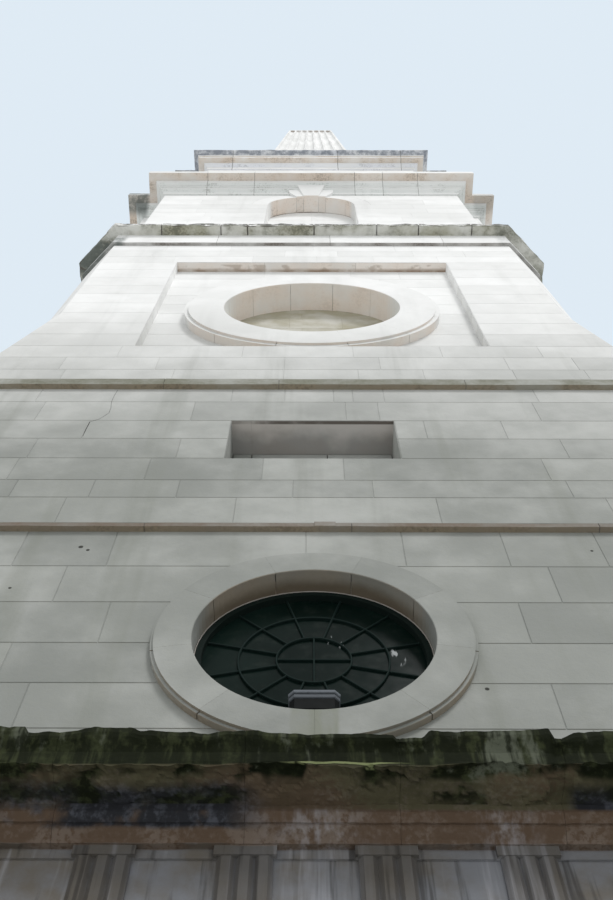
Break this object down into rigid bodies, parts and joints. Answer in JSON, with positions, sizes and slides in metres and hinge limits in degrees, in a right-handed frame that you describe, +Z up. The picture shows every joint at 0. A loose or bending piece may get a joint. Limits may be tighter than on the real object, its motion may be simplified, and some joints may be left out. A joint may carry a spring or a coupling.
{
  "type": "clock tower, half-scale model",
  "caption": "Half-scale limestone clock tower: square lower stages with a doorcase and round windows, canted recess stage, niche and top stages under broken cornices, fluted obelisk spire.",
  "frame": {"origin": "on the ground at the middle of the square plan of the tower", "axes": "+Z up, front with the door facing -Y, +X to the right of someone facing the door"},
  "size_m": [3.426, 4.101, 26.2],
  "materials": {
    "limestone": "weathered ashlar",
    "trim_stone": "rain-washed",
    "cornice_stone": "weathered, brown stained soffits",
    "spire_stone": "weathered",
    "sooty_stone": "sooty and mossy",
    "base_stone": "worn",
    "floor_timber": "oiled boards",
    "door_timber": "dark painted oak",
    "window_metal": "painted",
    "window_glass": "old dark glass",
    "lamp_metal": "dull coated"
  },
  "bodies": {
    "root": {"front_wall": "limestone", "right_wall": "limestone", "back_wall": "limestone", "left_wall": "limestone", "plinth": "base_stone", "lower_string": "trim_stone", "upper_string": "trim_stone", "front_recess_wall": "limestone", "right_recess_wall": "limestone", "back_recess_wall": "limestone", "left_recess_wall": "limestone", "round_surrounds": "trim_stone", "coping": "trim_stone", "front_niche_wall": "limestone", "right_niche_wall": "limestone", "back_niche_wall": "limestone", "left_niche_wall": "limestone", "keystones": "trim_stone", "niche_cornice": "cornice_stone", "front_top_wall": "limestone", "right_top_wall": "limestone", "back_top_wall": "limestone", "left_top_wall": "limestone", "top_cornice": "cornice_stone", "spire_slab": "base_stone", "spire_plinth": "spire_stone", "spire_shaft": "spire_stone", "spire_cap": "spire_stone", "ground_floor": "base_stone", "upper_floor": "floor_timber", "door_steps": "base_stone", "left_column": "trim_stone", "right_column": "trim_stone", "door_architrave": "sooty_stone", "triglyph_frieze": "sooty_stone", "door_cornice": "sooty_stone", "door_frame": "door_timber", "left_door": "door_timber", "right_door": "door_timber", "window_rings": "trim_stone", "window_frames": "window_metal", "window_glass": "window_glass", "floodlight": "lamp_metal", "floodlight_bracket": "lamp_metal"}
  },
  "joints": []
}
